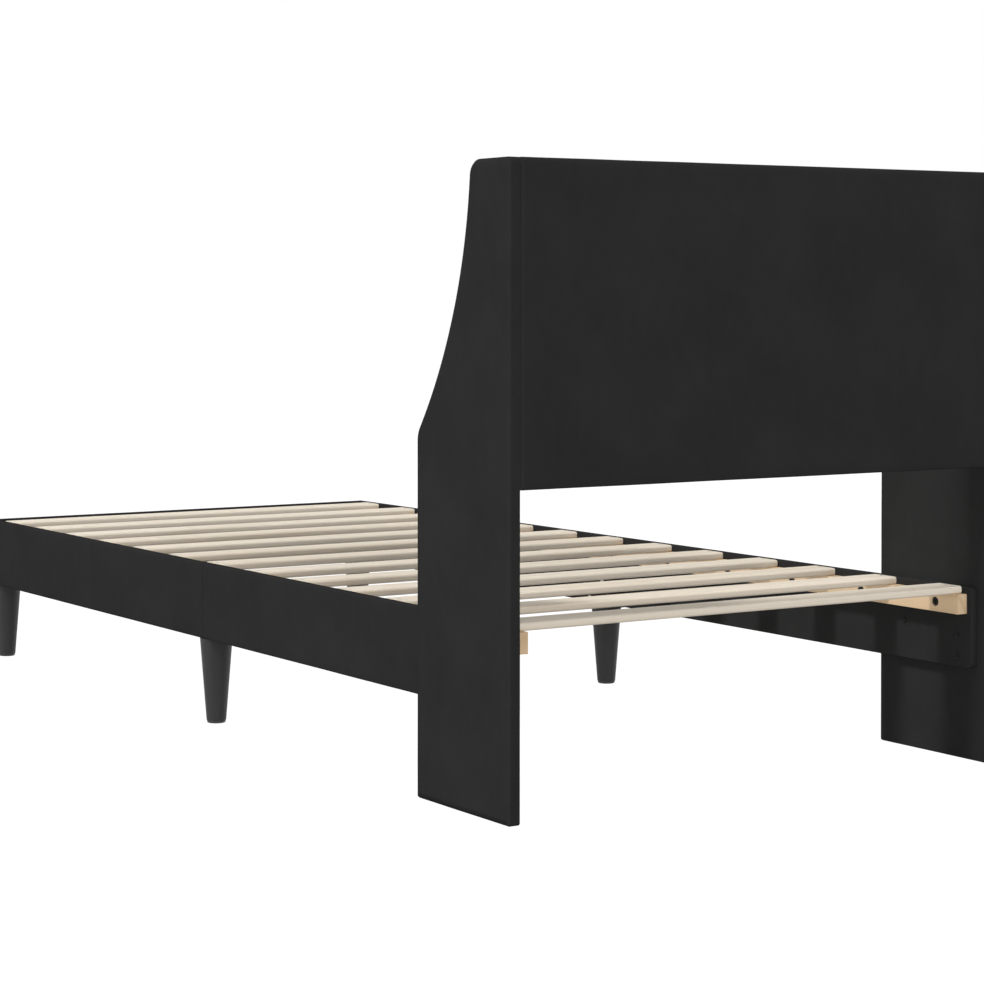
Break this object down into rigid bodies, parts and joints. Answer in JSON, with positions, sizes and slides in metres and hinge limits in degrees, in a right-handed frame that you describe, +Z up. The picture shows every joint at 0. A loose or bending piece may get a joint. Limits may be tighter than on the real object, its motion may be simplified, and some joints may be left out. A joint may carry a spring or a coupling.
{
  "type": "upholstered bed frame",
  "caption": "Low single bed frame in black fabric, with a winged headboard on floor-length side wings, slim rails, wooden slats and round tapered legs.",
  "frame": {"origin": "on the floor, under the middle of the bed's length and width", "axes": "+Z up; +Y along the bed towards the headboard; +X to the right seen from the foot end"},
  "size_m": [0.977, 2.07, 0.99],
  "materials": {
    "black_fabric": "black short-pile velvet-like polyester",
    "wadding": "thin polyester wadding",
    "foam": "soft polyurethane foam",
    "panel_board": "plain particle board",
    "thin_board": "thin hardboard",
    "frame_wood": "sawn pine",
    "slat_wood": "pale bare wood, sanded",
    "cleat_wood": "bare pine, planed",
    "black_leg": "black satin moulded plastic",
    "black_glide": "black hard plastic",
    "black_steel": "black coated steel",
    "zinc_steel": "zinc-plated steel"
  },
  "bodies": {
    "root": {"block_screws": "zinc_steel", "cleat_left_foot": "cleat_wood", "cleat_left_head": "cleat_wood", "cleat_right_foot": "cleat_wood", "cleat_right_head": "cleat_wood", "cleat_screws": "black_steel", "corner_block_left": "frame_wood", "corner_block_right": "frame_wood", "foot_rail_board": "panel_board", "foot_rail_cover": "black_fabric", "headboard_back_board": "thin_board", "headboard_back_cover": "black_fabric", "headboard_bolts": "black_steel", "headboard_bottom_rail": "frame_wood", "headboard_foam": "foam", "headboard_front_board": "thin_board", "headboard_front_cover": "black_fabric", "headboard_left_stile": "frame_wood", "headboard_middle_stile": "frame_wood", "headboard_right_stile": "frame_wood", "headboard_top_rail": "frame_wood", "joint_block_left": "frame_wood", "joint_block_right": "frame_wood", "leg_glides": "black_glide", "leg_left_foot": "black_leg", "leg_left_middle": "black_leg", "leg_right_foot": "black_leg", "leg_right_middle": "black_leg", "leg_studs": "zinc_steel", "rail_bolts": "black_steel", "rail_left_foot_board": "panel_board", "rail_left_foot_cover": "black_fabric", "rail_left_head_board": "panel_board", "rail_left_head_cover": "black_fabric", "rail_right_foot_board": "panel_board", "rail_right_foot_cover": "black_fabric", "rail_right_head_board": "panel_board", "rail_right_head_cover": "black_fabric", "slat_01": "slat_wood", "slat_02": "slat_wood", "slat_03": "slat_wood", "slat_04": "slat_wood", "slat_05": "slat_wood", "slat_06": "slat_wood", "slat_07": "slat_wood", "slat_08": "slat_wood", "slat_09": "slat_wood", "slat_10": "slat_wood", "slat_11": "slat_wood", "slat_12": "slat_wood", "slat_13": "slat_wood", "slat_screws": "zinc_steel", "wing_glides": "black_glide", "wing_left_board": "panel_board", "wing_left_cover": "black_fabric", "wing_left_wadding": "wadding", "wing_nuts": "zinc_steel", "wing_right_board": "panel_board", "wing_right_cover": "black_fabric", "wing_right_wadding": "wadding"}
  },
  "joints": []
}
